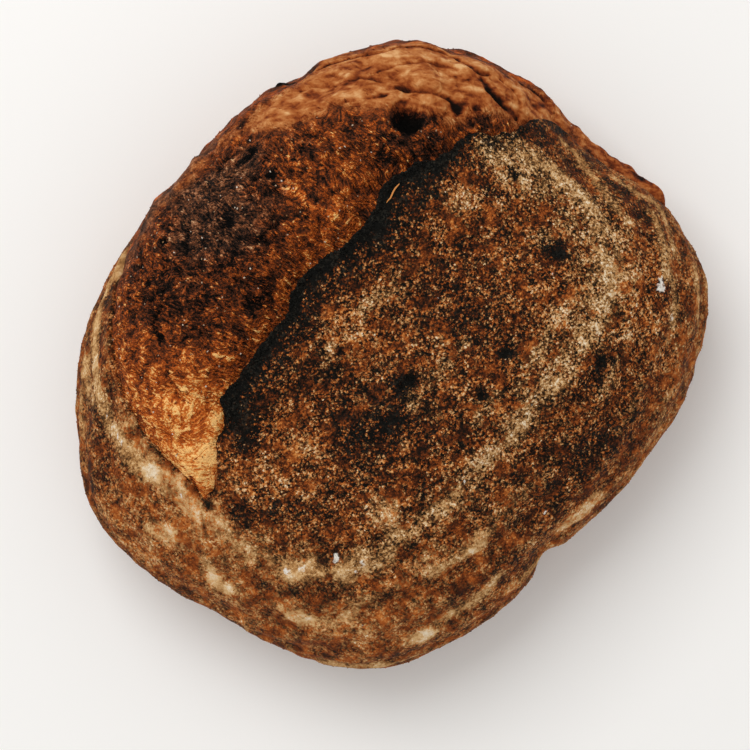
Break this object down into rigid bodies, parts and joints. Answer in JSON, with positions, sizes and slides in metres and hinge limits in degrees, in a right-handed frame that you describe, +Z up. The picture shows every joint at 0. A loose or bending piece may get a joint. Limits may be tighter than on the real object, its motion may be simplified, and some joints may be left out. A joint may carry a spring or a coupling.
{
  "type": "rye bread loaf",
  "caption": "Whole dark-baked hearth loaf, nearly round, with one opened slash, a raised burnt ear, swollen torn crust and a flat base.",
  "frame": {"origin": "on the floor under the middle of the loaf's box, in the plane of its flat base", "axes": "+X along the slash and the loaf's long way, +Y towards the torn crust beside the slash, +Z up"},
  "size_m": [0.241, 0.2046, 0.1],
  "materials": {
    "crust": "matt dark-baked bread crust with flour in its grain"
  },
  "bodies": {
    "root": {"loaf": "crust"}
  },
  "joints": []
}
